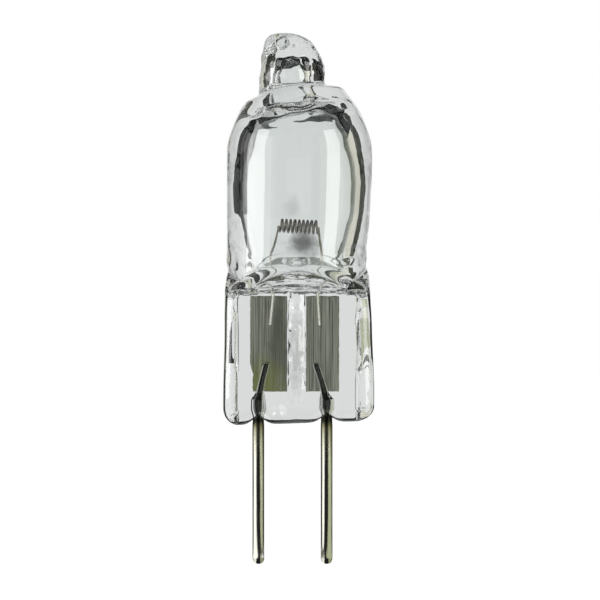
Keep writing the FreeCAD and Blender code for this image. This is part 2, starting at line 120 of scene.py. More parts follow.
class SealMetalSettings(bpy.types.PropertyGroup):
    """Sizes and colours of the foils and the pins."""

    foil_thickness: bpy.props.FloatProperty(
        name="Foil", description="Thickness of a foil along its middle", default=0.03 * MM, unit="LENGTH")
    pin_diameter: bpy.props.FloatProperty(
        name="Pin", description="Diameter of a contact pin", default=0.70 * MM, unit="LENGTH")
    pin_gap: bpy.props.FloatProperty(
        name="Gap", description="Space between a pin and the glass", default=0.10 * MM, unit="LENGTH")
    foil_light: bpy.props.FloatVectorProperty(
        name="Foil, light", description="Bright rolling lines", default=linear("#A2A498"), subtype="COLOR")
    foil_dark: bpy.props.FloatVectorProperty(
        name="Foil, dark", description="Dull metal between the lines",
        default=linear("#5C5E55"), subtype="COLOR")
    foil_shade: bpy.props.FloatVectorProperty(
        name="Foil, shade", description="Darkened metal on the left foil", default=linear("#50524A"),
        subtype="COLOR")
    foil_tint: bpy.props.FloatVectorProperty(
        name="Foil, tint", description="Yellow-green oxide on the left foil", default=linear("#7E8450"),
        subtype="COLOR")
    pin_colour: bpy.props.FloatVectorProperty(
        name="Pin", description="Bright drawn wire", default=linear("#B9B9B0"), subtype="COLOR")
    # Painted shade: the part of each pin inside the glass, in its bore and on the foil, is painted this
    # near-black colour.
    sealed_pin_painted_shade: bpy.props.FloatVectorProperty(
        name="Tongue", description="Painted shade on the pin inside the glass",
        default=linear("#1F211B"), subtype="COLOR")
    pin_tint: bpy.props.FloatVectorProperty(
        name="Pin, tint", description="Heat colour beside the glass",
        default=linear("#62604A"), subtype="COLOR")


class StageSettings(bpy.types.PropertyGroup):
    """Camera and light of the photograph."""

    view_width: bpy.props.FloatProperty(
        name="View width", description="Width of the picture at the lamp", default=35.09 * MM, unit="LENGTH")
    aim_x: bpy.props.FloatProperty(
        name="Aim across", description="Picture centre, across the pins", default=0.44 * MM, unit="LENGTH")
    aim_z: bpy.props.FloatProperty(
        name="Aim height", description="Picture centre, above the seal's foot",
        default=7.19 * MM, unit="LENGTH")
    tilt: bpy.props.FloatProperty(
        name="Tilt", description="Height of the camera over the lamp",
        default=math.radians(1.5), subtype="ANGLE")
    lens: bpy.props.FloatProperty(name="Lens", description="Focal length in millimetres", default=100.0)
    backdrop: bpy.props.FloatProperty(
        name="Backdrop", description="Light of the backdrop as the glass shows it", default=0.76)
    room: bpy.props.FloatProperty(
        name="Room", description="Light from all round on dull surfaces", default=0.55)
    softbox: bpy.props.FloatProperty(
        name="Softbox", description="Brightness of the two softboxes", default=5.4)


def settings():
    """The add-on's settings in the open scene."""
    scene = bpy.context.scene
    return scene.capsule_glass, scene.capsule_wire, scene.capsule_seal_metal, scene.capsule_stage


def add_node(tree, kind, inputs=None, **options):
    """Add one node, set its options and fill its sockets with values or with other nodes' outputs."""
    node = tree.nodes.new(kind)
    for name, value in options.items():
        setattr(node, name, value)
    for key, value in (inputs or {}).items():
        if isinstance(value, bpy.types.NodeSocket):
            tree.links.new(value, node.inputs[key])
        else:
            node.inputs[key].default_value = value
    return node


def new_material(name):
    """An empty node material and its output node."""
    material = bpy.data.materials.new(name)
    material.use_nodes = True
    material.node_tree.nodes.clear()
    output = add_node(material.node_tree, "ShaderNodeOutputMaterial")
    return material, material.node_tree, output


def per_mm(size):
    """Texture scale that repeats about once in a size given in millimetres."""
    return 1 / (size * MM)


def smooth(value):
    """Ease from 0 to 1 as a value goes from 0 to 1."""
    t = np.clip(value, 0.0, 1.0)
    return t * t * (3 - 2 * t)


def soft_lower(a, b, width):
    """The lower of two values, with the corner rounded over a width."""
    h = np.clip(0.5 + 0.5 * (b - a) / width, 0.0, 1.0)
    return b * (1 - h) + a * h - width * h * (1 - h)


def follow(run, values, places):
    """Values along a run, by cubic pieces that never overshoot the given ones."""
    step = np.diff(run)[:, None]
    slope = np.diff(values, axis=0) / step
    tangent = np.zeros_like(values)
    tangent[0], tangent[-1] = slope[0], slope[-1]
    same = slope[:-1] * slope[1:] > 0
    w1, w2 = 2 * step[1:] + step[:-1], step[1:] + 2 * step[:-1]
    safe = np.where(same, slope[:-1], 1.0), np.where(same, slope[1:], 1.0)
    tangent[1:-1] = np.where(same, (w1 + w2) / (w1 / safe[0] + w2 / safe[1]), 0.0)
    at = np.clip(np.searchsorted(run, places, side="right") - 1, 0, len(run) - 2)
    h = step[at]
    t = (places - run[at])[:, None] / h
    return (
        values[at] * (1 + 2 * t) * (1 - t) ** 2 + tangent[at] * h * t * (1 - t) ** 2
        + values[at + 1] * t * t * (3 - 2 * t) + tangent[at + 1] * h * t * t * (t - 1)
    )


def sample_stations(stations, spacing):
    """Station rows filled in along their run, with a spacing that depends on the height."""
    table = np.array(stations, float)
    run = np.concatenate([[0.0], np.cumsum(np.hypot(np.diff(table[:, 0]), np.diff(table[:, 1])))])
    places = []
    for low, high, row in zip(run[:-1], run[1:], table):
        count = max(1, math.ceil((high - low) / spacing(row[0])))
        places.extend(low + (high - low) * np.arange(count) / count)
    places.append(run[-1])
    return follow(run, table, np.array(places))


def ring(half_x, half_y, power, count):
    """Points round a superellipse, evenly spaced, from +X by way of +Y."""
    quarter = count // 4
    angle = np.linspace(0.0, math.pi / 2, 181)
    x = half_x * np.cos(angle).clip(0) ** (2 / power)
    y = half_y * np.sin(angle).clip(0) ** (2 / power)
    arc = np.concatenate([[0.0], np.cumsum(np.hypot(np.diff(x), np.diff(y)))])
    even = np.linspace(0.0, arc[-1], quarter + 1)
    x, y = np.interp(even, arc, x), np.interp(even, arc, y)
    return np.concatenate([
        np.stack([x[:-1], y[:-1]], 1),
        np.stack([-x[:0:-1], y[:0:-1]], 1),
        np.stack([-x[:-1], -y[:-1]], 1),
        np.stack([x[:0:-1], -y[:0:-1]], 1),
    ])


def rings_of(rows, count):
    """Grid of points in millimetres for rows of height, half x, half y, power, shift x and shift y."""
    grid = np.zeros((len(rows), count, 3))
    for at, (z, half_x, half_y, power, shift_x, shift_y) in enumerate(rows):
        grid[at, :, :2] = ring(half_x, half_y, power, count) + (shift_x, shift_y)
        grid[at, :, 2] = z
    return grid


def cut_flat(grid, heights, depths, rounding):
    """Flatten the front and back of a grid to a depth that changes with the height."""
    y = grid[..., 1]
    depth = follow(np.array(heights), np.array(depths)[:, None], grid[:, 0, 2])
    grid[..., 1] = np.sign(y) * soft_lower(np.abs(y), depth, rounding)


def skin_object(name, grid, top=None):
    """Closed skin over stacked rings in millimetres: flat at the foot, and a point or flat at the top."""
    levels, count, _ = grid.shape
    points = grid.reshape(-1, 3)
    faces = []
    for level in range(levels - 1):
        for at in range(count):
            after = (at + 1) % count
            low, high = level * count, (level + 1) * count
            faces.append((low + at, low + after, high + after, high + at))
    half = count // 2
    for at in range(half):
        far, near = (count - at) % count, count - at - 1
        faces.append(tuple(dict.fromkeys((far, near, at + 1, at))))
    last = (levels - 1) * count
    if top is None:
        for at in range(half):
            far, near = (count - at) % count, count - at - 1
            faces.append(tuple(last + v for v in dict.fromkeys((at, at + 1, near, far))))
    else:
        points = np.vstack([points, top])
        for at in range(count):
            faces.append((last + at, last + (at + 1) % count, len(points) - 1))
    mesh = bpy.data.meshes.new(name)
    mesh.from_pydata((points * MM).tolist(), [], faces)
    mesh.validate()
    mesh.polygons.foreach_set("use_smooth", [True] * len(mesh.polygons))
    obj = bpy.data.objects.new(name, mesh)
    bpy.context.scene.collection.objects.link(obj)
    return obj


def plain_mesh(obj):
    """Turn an object with modifiers into one with a plain mesh."""
    bpy.context.view_layer.update()
    evaluated = obj.evaluated_get(bpy.context.evaluated_depsgraph_get())
    mesh = bpy.data.meshes.new_from_object(evaluated)
    obj.modifiers.clear()
    obj.data = mesh
    return obj


def combine(obj, other, operation):
    """Add or take away another closed skin, which is used up."""
    cut = obj.modifiers.new("combine", "BOOLEAN")
    cut.object, cut.operation, cut.solver = other, operation, "EXACT"
    plain_mesh(obj)
    bpy.data.objects.remove(other)
    return obj


def mark_sharp_edges(obj, angle):
    """Break the smooth shading where two faces meet at more than an angle."""
    skin = bmesh.new()
    skin.from_mesh(obj.data)
    for face in skin.faces:
        face.smooth = True
    for edge in skin.edges:
        edge.smooth = not edge.is_manifold or edge.calc_face_angle(0.0) < angle
    skin.to_mesh(obj.data)
    skin.free()


def wobble(points, size, seed):
    """Smooth noise from -1 to 1 at points in millimetres, with bumps of a given size."""
    shift = Vector((seed * 17.3, seed * 5.1, seed * 9.7))
    flat = points.reshape(-1, 3)
    values = [noise.noise(Vector(p) / size + shift) for p in flat]
    return np.array(values).reshape(points.shape[:-1])


def finish_piece(obj, material, slot, *nodes):
    """Give a piece its material and let it stand for CAD nodes on the lamp's one body."""
    obj.data.materials.clear()
    obj.data.materials.append(material)
    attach(obj, "root")
    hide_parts(*nodes)


# Places that several pieces share, in millimetres from the seal's foot, midway between the pins.
GLASS_X = 0.37
PIN_X = 2.00
TONGUE_LEANS = {"left": 0.76, "right": -1.0}
FOIL_FRONT = -0.02
COIL_X, COIL_Z, COIL_TILT = 0.37, 11.30, math.radians(2.4)
DOME_Z = 15.85
TIP_TOP = (GLASS_X - 0.90, 0.0, 22.72)
BORE_END = (GLASS_X - 0.47, 0.0, 21.22)
BUBBLES = (((-0.52, -0.45, 21.96), 0.36), ((-1.02, -0.35, 21.52), 0.13), ((0.02, -0.60, 21.75), 0.10))
LEG_FEET = {"left": (-1.30, -0.085, 5.75), "right": (1.58, -0.085, 5.72)}
LEG_KNEES = {"left": (-1.12, -0.085, 7.55), "right": (1.47, -0.085, 7.55)}
LEG_BENDS = {"left": (-1.37, -0.085, 9.35), "right": (1.75, -0.085, 9.35)}


# Cloudy patches: middle across and in height, half width and half height in millimetres, and strength.
FILM_BY_COIL = (0.66, 10.34, 0.94, 0.80, 0.72)
FILM_OVER_COIL = (-0.05, 12.45, 0.50, 0.85, 0.14)
HAZE_ON_RIB = (0.20, 4.20, 0.46, 2.60, 0.38)
FOIL_SHADE = (-0.75, 4.60, 0.90, 4.40, 0.66)
FOIL_BLOOM = (-1.75, 2.10, 1.50, 1.90, 0.75)


def cloudy_patch(tree, place, cloud, spot, ragged, start, end):
    """How much a patch covers: its strength in the middle, fading out at an edge that noise breaks up."""
    x, z, wide, tall, strength = spot
    centred = add_node(tree, "ShaderNodeMapping", {
        "Vector": place,
        "Location": (-x / wide, 0.0, -z / tall),
        "Scale": (per_mm(wide), 0.0, per_mm(tall)),
    })
    reach = add_node(tree, "ShaderNodeVectorMath", {0: centred.outputs["Vector"]}, operation="LENGTH")
    broken = add_node(tree, "ShaderNodeMath", {
        0: cloud.outputs["Fac"], 1: ragged, 2: reach.outputs["Value"]}, operation="MULTIPLY_ADD")
    cover = add_node(tree, "ShaderNodeMapRange", {
        "Value": broken.outputs["Value"],
        "From Min": start,
        "From Max": end,
        "To Min": strength,
        "To Max": 0.0,
    })
    return cover.outputs["Result"]


def quartz_material(glass):
    """Fused quartz, fire polished: clear, with flow lines, a grey film by the coil and a haze on the rib."""
    material, tree, output = new_material("Fused quartz, fire polished")
    place = add_node(tree, "ShaderNodeTexCoord").outputs["Object"]
    cloud = add_node(tree, "ShaderNodeTexNoise", {"Vector": place, "Scale": per_mm(0.42), "Detail": 4.0})
    film = 0.0
    for spot in (FILM_BY_COIL, FILM_OVER_COIL, HAZE_ON_RIB):
        stain = cloudy_patch(tree, place, cloud, spot, 1.5, 1.15, 1.85)
        film = add_node(tree, "ShaderNodeMath", {0: film, 1: stain}, operation="MAXIMUM").outputs["Value"]
    colour = add_node(tree, "ShaderNodeMix", {
        0: film, 6: (*glass.colour, 1), 7: (*glass.deposit, 1)}, data_type="RGBA")
    stretch = add_node(tree, "ShaderNodeMapping", {
        "Vector": place, "Scale": (per_mm(0.35), per_mm(0.35), per_mm(2.6))})
    flow = add_node(tree, "ShaderNodeTexNoise", {
        "Vector": stretch.outputs["Vector"], "Scale": 1.0, "Detail": 2.0})
    bump = add_node(tree, "ShaderNodeBump", {
        "Height": flow.outputs["Fac"], "Strength": 0.5, "Distance": 0.006 * MM})
    surface = add_node(tree, "ShaderNodeBsdfPrincipled", {
        "Base Color": colour.outputs[2],
        "Normal": bump.outputs["Normal"],
        "Roughness": 0.0,
        "IOR": 1.458,
        "Transmission Weight": 1.0,
    })
    tree.links.new(surface.outputs["BSDF"], output.inputs["Surface"])
    return material


def tungsten_material(wire):
    """Tungsten wire after burning in: grey, cleaner in the seal, with a fine grain that dulls its shine."""
    material, tree, output = new_material("Tungsten wire, burnt in")
    place = add_node(tree, "ShaderNodeTexCoord").outputs["Object"]
    grain = add_node(tree, "ShaderNodeTexNoise", {"Vector": place, "Scale": per_mm(0.08), "Detail": 3.0})
    dull = add_node(tree, "ShaderNodeMapRange", {
        "Value": grain.outputs["Fac"], "From Min": 0.3, "From Max": 0.7, "To Min": 0.22, "To Max": 0.38})
    height = add_node(tree, "ShaderNodeSeparateXYZ", {"Vector": place})
    burnt = add_node(tree, "ShaderNodeMapRange", {
        "Value": height.outputs["Z"], "From Min": 8.8 * MM, "From Max": 9.8 * MM})
    colour = add_node(tree, "ShaderNodeMix", {
        0: burnt.outputs["Result"], 6: (*wire.clean, 1), 7: (*wire.colour, 1)}, data_type="RGBA")
    surface = add_node(tree, "ShaderNodeBsdfPrincipled", {
        "Base Color": colour.outputs[2], "Metallic": 1.0, "Roughness": dull.outputs["Result"]})
    tree.links.new(surface.outputs["BSDF"], output.inputs["Surface"])
    return material


def foil_material(metal):
    """Rolled molybdenum strip: olive grey with bright rolling lines, a dark patch and a greenish bloom."""
    material, tree, output = new_material("Molybdenum foil, rolled")
    place = add_node(tree, "ShaderNodeTexCoord").outputs["Object"]
    stretch = add_node(tree, "ShaderNodeMapping", {
        "Vector": place, "Scale": (per_mm(0.07), per_mm(0.07), per_mm(5.0))})
    lines = add_node(tree, "ShaderNodeTexNoise", {
        "Vector": stretch.outputs["Vector"], "Scale": 1.0, "Detail": 4.0})
    bright = add_node(tree, "ShaderNodeMapRange", {
        "Value": lines.outputs["Fac"], "From Min": 0.34, "From Max": 0.66})
    colour = add_node(tree, "ShaderNodeMix", {
        0: bright.outputs["Result"], 6: (*metal.foil_dark, 1), 7: (*metal.foil_light, 1)}, data_type="RGBA")
    cloud = add_node(tree, "ShaderNodeTexNoise", {"Vector": place, "Scale": per_mm(0.6), "Detail": 3.0})
    for spot, tint in ((FOIL_SHADE, metal.foil_shade), (FOIL_BLOOM, metal.foil_tint)):
        cover = cloudy_patch(tree, place, cloud, spot, 0.9, 0.7, 1.6)
        colour = add_node(tree, "ShaderNodeMix", {
            0: cover, 6: colour.outputs[2], 7: (*tint, 1)}, data_type="RGBA")
    bump = add_node(tree, "ShaderNodeBump", {
        "Height": lines.outputs["Fac"], "Strength": 0.6, "Distance": 0.012 * MM})
    surface = add_node(tree, "ShaderNodeBsdfPrincipled", {
        "Base Color": colour.outputs[2],
        "Normal": bump.outputs["Normal"],
        "Metallic": 1.0,
        "Roughness": 0.36,
    })
    tree.links.new(surface.outputs["BSDF"], output.inputs["Surface"])
    return material


def pin_material(metal):
    """Drawn contact wire: bright, with fine lines along it and an olive heat tint beside the glass; inside
    the glass it is painted near black as painted shade.
    """
    material, tree, output = new_material("Contact wire, drawn")
    place = add_node(tree, "ShaderNodeTexCoord").outputs["Object"]
    stretch = add_node(tree, "ShaderNodeMapping", {
        "Vector": place, "Scale": (per_mm(0.07), per_mm(0.07), per_mm(2.2))})
    lines = add_node(tree, "ShaderNodeTexNoise", {
        "Vector": stretch.outputs["Vector"], "Scale": 1.0, "Detail": 3.0})
    height = add_node(tree, "ShaderNodeSeparateXYZ", {"Vector": place})
    tinted = add_node(tree, "ShaderNodeMapRange", {
        "Value": height.outputs["Z"], "From Min": -2.4 * MM, "From Max": -0.2 * MM})
    colour = add_node(tree, "ShaderNodeMix", {
        0: tinted.outputs["Result"], 6: (*metal.pin_colour, 1), 7: (*metal.pin_tint, 1)}, data_type="RGBA")
    # Painted shade: from just above the seal's foot upwards, the pin takes the near-black painted shade
    # colour.
    sealed = add_node(tree, "ShaderNodeMapRange", {
        "Value": height.outputs["Z"], "From Min": -0.30 * MM, "From Max": 0.10 * MM})
    colour = add_node(tree, "ShaderNodeMix", {
        0: sealed.outputs["Result"], 6: colour.outputs[2], 7: (*metal.sealed_pin_painted_shade, 1)}, data_type="RGBA")
    dull = add_node(tree, "ShaderNodeMapRange", {
        "Value": lines.outputs["Fac"], "From Min": 0.3, "From Max": 0.7, "To Min": 0.10, "To Max": 0.20})
    dull = add_node(tree, "ShaderNodeMath", {
        0: tinted.outputs["Result"], 1: 0.22, 2: dull.outputs["Result"]}, operation="MULTIPLY_ADD")
    bump = add_node(tree, "ShaderNodeBump", {
        "Height": lines.outputs["Fac"], "Strength": 0.4, "Distance": 0.014 * MM})
    surface = add_node(tree, "ShaderNodeBsdfPrincipled", {
        "Base Color": colour.outputs[2],
        "Normal": bump.outputs["Normal"],
        "Metallic": 1.0,
        "Roughness": dull.outputs["Value"],
    })
    tree.links.new(surface.outputs["BSDF"], output.inputs["Surface"])
    return material


class CAPSULE_OT_envelope(bpy.types.Operator):
    """Build the quartz envelope: bulb, exhaust tip, pinch seal, chamber and the bores round the metal"""

    bl_idname = "capsule.envelope"
    bl_label = "Quartz envelope"

    def execute(self, context):
        glass, wire, metal, _ = settings()
        skin = skin_object("quartz_envelope_glass", self.outside(glass), top=TIP_TOP)
        for word, side in SIDES:
            combine(skin, self.pin_bore(word, side, metal), "DIFFERENCE")
        hollow = skin_object("chamber", self.inside(glass), top=BORE_END)
        for word, _ in SIDES:
            combine(hollow, self.leg_bore(word, wire), "UNION")
        hollows = [hollow] + [self.bubble(spot, size) for spot, size in BUBBLES]
        whole = bmesh.new()
        whole.from_mesh(skin.data)
        for empty in hollows:
            empty.data.flip_normals()
            whole.from_mesh(empty.data)
            bpy.data.objects.remove(empty)
        whole.to_mesh(skin.data)
        whole.free()
        mark_sharp_edges(skin, math.radians(40))
        finish_piece(skin, quartz_material(glass), "fused_quartz", "quartz_envelope")
        skin.visible_shadow = False
        return {"FINISHED"}

    def outside(self, glass):
        """Rings of the outer surface, from the seal's foot to the top of the exhaust tip."""
        radius = glass.bulb_diameter / 2 / MM
        foot, bead = glass.seal_width / 2 / MM, glass.bead_thickness / 2 / MM
        # Rows of height, half width, half depth, squareness and shift to the right, in millimetres.
        seal = [
            (0.00, foot - 1.12, bead - 0.90, 3.4, -0.04),
            (0.05, foot - 0.78, bead - 0.62, 3.7, -0.04),
            (0.18, foot - 0.47, bead - 0.36, 4.1, -0.03),
            (0.38, foot - 0.23, bead - 0.16, 4.6, -0.02),
            (0.64, foot - 0.07, bead - 0.05, 5.1, -0.02),
            (0.98, foot, bead, 5.5, -0.01),
            (2.20, foot - 0.01, bead, 5.5, -0.01),
            (3.80, foot - 0.07, bead, 5.5, -0.01),
            (5.70, foot - 0.12, bead, 5.5, -0.03),
            (7.20, foot - 0.165, bead, 5.0, -0.06),
        ]
        shoulder = [
            (7.70, radius + 0.005, bead + 0.55, 3.6, -0.07),
            (8.05, radius - 0.020, bead + 1.50, 2.5, -0.08),
            (8.50, radius - 0.055, radius - 0.25, 2.0, -0.09),
            (9.00, radius - 0.085, radius - 0.13, 2.0, -0.10),
            (9.60, radius - 0.135, radius - 0.13, 2.0, -0.12),
            (10.20, radius - 0.165, radius - 0.13, 2.0, -0.12),
            (10.80, radius - 0.135, radius - 0.12, 2.0, -0.09),
            (11.50, radius - 0.095, radius - 0.09, 2.0, -0.05),
            (13.00, radius - 0.045, radius - 0.045, 2.0, 0.0),
            (15.20, radius, radius, 2.0, 0.045),
        ]
        dome = []
        for angle in np.linspace(0.04, 0.93, 12):
            around = radius * math.cos(angle) - 0.10 * math.exp(-((angle - 0.36) / 0.22) ** 2)
            dome.append((DOME_Z + radius * math.sin(angle), around, around, 2.0, 0.045))
        tip = [
            (19.40, 2.22, 2.22, 2.0, -0.14),
            (19.46, 2.05, 2.05, 2.0, -0.30),
            (19.62, 1.95, 1.94, 2.0, -0.38),
            (20.00, 1.90, 1.88, 2.0, -0.40),
            (20.71, 1.875, 1.85, 2.0, -0.37),
            (21.19, 1.78, 1.74, 2.0, -0.42),
            (21.60, 1.65, 1.58, 2.1, -0.48),
            (21.85, 1.556, 1.46, 2.1, -0.545),
            (22.16, 1.40, 1.28, 2.1, -0.63),
            (22.44, 1.13, 1.02, 2.0, -0.72),
            (22.62, 0.81, 0.72, 2.0, -0.81),
            (22.70, 0.45, 0.40, 2.0, -0.88),
        ]
        stations = [(z, a, b, n, GLASS_X + x, 0.0) for z, a, b, n, x in seal + shoulder + dome + tip]

        def spacing(z):
            """Closer rings where the surface bends more."""
            if z < 0.9 or 7.3 <= z < 8.3:
                return 0.06
            if z >= 19.0:
                return 0.08
            return 0.11 if z < 11.4 else 0.20

        grid = rings_of(sample_stations(stations, spacing), 208)
        slope = (-1.0, 7.20, 7.78, 8.12, 8.45, 8.78, 9.11, 9.44, 9.74, 10.20, 23.0)
        depth = (2.40, 2.10, 1.70, 2.10, 2.74, 3.38, 3.86, 4.18, 4.40, 5.00, 9.0)
        cut_flat(grid, slope, depth, 0.30)
        self.press_jaws(grid, glass)
        self.shape_foot(grid)
        self.lean_crown(grid, height=19.40, reach=0.42, slope=0.11)
        self.roughen(grid)
        return grid

    def press_jaws(self, grid, glass):
        """Press the flat web between the beads, with its low middle rib, into both faces of the seal."""
        x, y, z = grid[..., 0] - GLASS_X, grid[..., 1], grid[..., 2]
        rib = np.clip(1 - ((x + 0.13) / 0.54) ** 2, 0.0, None) ** 1.5 * smooth((z - 0.5) / 1.8)
        rib = rib * (0.19 + 0.10 * wobble(grid * (1.0, 1.0, 0.30), 0.20, 7))
        side = 0.9 * smooth((np.abs(x + 0.10) - 3.48) / 0.28)
        edge = 7.60 + 0.05 * np.cos(x * 0.9) + 0.07 * wobble(grid * (1.0, 0.2, 0.2), 0.5, 10)
        top = 4.0 * smooth((z - edge) / 0.7)
        below = np.clip(1 - z, 0.0, 1.0)
        turned_in = 0.96 * (1 - np.sqrt(1 - below ** 2))
        dent = 0.34 * np.exp(-(((x + 1.21) / 0.36) ** 2 + ((z - 0.82) / 0.36) ** 2)) * (y < 0)
        limit = glass.web_thickness / 2 / MM + rib + side + top - turned_in - dent
        grid[..., 1] = np.sign(y) * soft_lower(np.abs(y), limit, 0.10)

    def shape_foot(self, grid):
        """Lift the foot's edge where the pins come out, so that it has three lobes."""
        x, z = grid[..., 0], grid[..., 2]
        lift = sum(0.40 * np.exp(-((x - side * PIN_X) / 0.52) ** 2) for _, side in SIDES)
        grid[..., 2] = z + (lift - 0.04 + 0.034 * x) * smooth(1 - z / 1.3)

    def lean_crown(self, grid, height, reach, slope):
        """Tilt the glass about one height, lower on the left, as it was worked there."""
        x, z = grid[..., 0] - GLASS_X, grid[..., 2]
        near = np.exp(-((z - height) / reach) ** 2)
        grid[..., 2] = z + slope * x * near

    def roughen(self, grid):
        """Uneven glass: hardly any on the barrel, more at the seal's head, most at the tip."""
        z = grid[..., 2]
        tip = smooth((z - 19.2) / 1.2)
        shoulder = np.exp(-((z - 8.6) / 1.1) ** 2)
        seal = smooth((7.6 - z) / 0.8)
        push = (0.004 + 0.035 * shoulder + 0.012 * seal) * wobble(grid, 1.3, 1)
        push += tip * (0.085 * wobble(grid, 0.85, 2) + 0.032 * wobble(grid, 0.34, 9))
        x = grid[..., 0] - GLASS_X
        for side, foot_z, top_z in ((-1, 7.75, 8.95), (1, 7.85, 9.30)):
            line = foot_z + (top_z - foot_z) * np.clip((side * x - 2.70) / 1.45, 0.0, 1.0)
            push -= 0.11 * np.exp(-((z - line) / 0.32) ** 2) * smooth((side * x - 2.30) / 0.6)
        middle = grid.mean(axis=1, keepdims=True)
        arm = (grid - middle)[..., :2]
        length = np.linalg.norm(arm, axis=-1, keepdims=True).clip(1e-6)
        grid[..., :2] += arm / length * push[..., None]

    def inside(self, glass):
        """Rings of the chamber, from its arched floor through the dome to the end of the tip's bore."""
        radius = (glass.bulb_diameter / 2 - glass.wall) / MM
        # Rows as for the outer surface.
        floor = [
            (8.33, 2.38, 0.20, 2.6, -0.02),
            (8.36, 2.44, 1.10, 2.6, -0.03),
            (8.44, 2.50, 1.80, 2.5, -0.04),
            (8.60, 2.56, 2.30, 2.3, -0.05),
            (8.90, 2.61, 2.58, 2.1, -0.06),
            (9.40, 2.69, 2.76, 2.0, -0.08),
            (10.10, 2.83, 2.90, 2.0, -0.08),
            (10.90, radius - 0.36, 3.00, 2.0, -0.06),
            (11.40, radius - 0.25, radius - 0.26, 2.0, -0.04),
            (12.20, radius - 0.11, radius - 0.13, 2.0, -0.01),
            (13.00, radius - 0.04, radius - 0.05, 2.0, 0.01),
            (14.00, radius, radius, 2.0, 0.03),
        ]
        dome = []
        for height in (0.20, 0.33, 0.45, 0.56, 0.66, 0.75, 0.81):
            around = radius * (1 - height ** 2.5) ** 0.4
            dome.append((13.4 + 5.15 * height, around, around, 2.0, 0.04))
        crown = [
            (17.86, 1.98, 1.98, 2.0, -0.06),
            (18.00, 1.66, 1.66, 2.0, -0.18),
            (18.10, 1.36, 1.36, 2.0, -0.30),
            (18.34, 1.12, 1.12, 2.0, -0.36),
            (19.00, 1.04, 1.04, 2.0, -0.38),
            (19.50, 1.02, 1.02, 2.0, -0.39),
            (19.60, 0.95, 0.95, 2.0, -0.39),
            (19.68, 0.88, 0.88, 2.0, -0.39),
            (20.30, 0.86, 0.86, 2.0, -0.39),
            (20.80, 0.76, 0.74, 2.0, -0.41),
            (21.05, 0.52, 0.50, 2.0, -0.44),
            (21.18, 0.24, 0.22, 2.0, -0.46),
        ]
        stations = [(z, a, b, n, GLASS_X + x, 0.0) for z, a, b, n, x in floor + dome + crown]
        grid = rings_of(sample_stations(stations, lambda z: 0.10 if z < 11.4 or z > 17.4 else 0.22), 144)
        x, z = grid[..., 0] - GLASS_X, grid[..., 2]
        arch = 0.78 * (1 - (x / 2.75) ** 2)
        grid[..., 2] = z + arch * smooth((10.1 - z) / 1.8)
        self.lean_crown(grid, height=17.95, reach=0.40, slope=0.13)
        z = grid[..., 2]
        crown_part = np.exp(-((z - 18.1) / 0.45) ** 2)
        floor_part = np.exp(-((z - 9.3) / 0.9) ** 2)
        end_part = smooth((z - 20.4) / 0.4)
        uneven = 0.10 * crown_part + 0.03 * floor_part + 0.22 * end_part
        grid[..., 2] += uneven * wobble(grid, 0.7, 3)
        return grid

    def bubble(self, spot, size):
        """A small closed bubble left in the glass of the tip."""
        x, y, z = spot
        rows = []
        for angle in np.linspace(-1.47, 1.47, 15):
            around = size * math.cos(angle)
            rows.append((z + size * math.sin(angle), around, around, 2.0, x, y))
        grid = rings_of(rows, 32)
        grid += 0.18 * size * wobble(grid, 0.30, 11)[..., None]
        return skin_object("bubble", grid)

    def pin_bore(self, word, side, metal):
        """The space round one pin: flared mouth, even gap, and a narrow end over the foil."""
        wide = metal.pin_diameter / 2 / MM + metal.pin_gap / MM
        lean = TONGUE_LEANS[word]
        rows = [
            (-0.80, wide + 0.42, wide + 0.42, 2.0, 0.0, 0.0),
            (0.05, wide + 0.14, wide + 0.14, 2.0, 0.0, 0.0),
            (0.45, wide, wide, 2.0, 0.0, 0.0),
            (1.35, wide - 0.02, wide - 0.02, 2.0, 0.0, 0.0),
            (1.78, 0.26, 0.20, 2.0, lean * 0.13, -0.06),
            (2.30, 0.22, 0.14, 2.0, lean * 0.26, -0.10),
            (3.45, 0.20, 0.12, 2.0, lean * 0.62, -0.10),
            (3.58, 0.10, 0.06, 2.0, lean * 0.65, -0.10),
        ]
        rows = [(z, a, b, n, side * PIN_X + x, y) for z, a, b, n, x, y in rows]
        return skin_object("pin_bore_" + word, rings_of(sample_stations(rows, lambda z: 0.12), 48))

    def leg_bore(self, word, wire):
        """The fine space round one leg of the wire, from its end on the foil up into the chamber."""
        gap = wire.wire_diameter / 2 / MM + 0.035
        x, y, z = LEG_FEET[word]
        rows = [(z - 0.04, gap * 0.5, gap * 0.5, 2.0, x, y)]
        for x, y, z in (LEG_FEET[word], LEG_KNEES[word], LEG_BENDS[word]):
            rows.append((z, gap, gap, 2.0, x, y))
        return skin_object("leg_bore_" + word, rings_of(sample_stations(rows, lambda z: 0.15), 24))


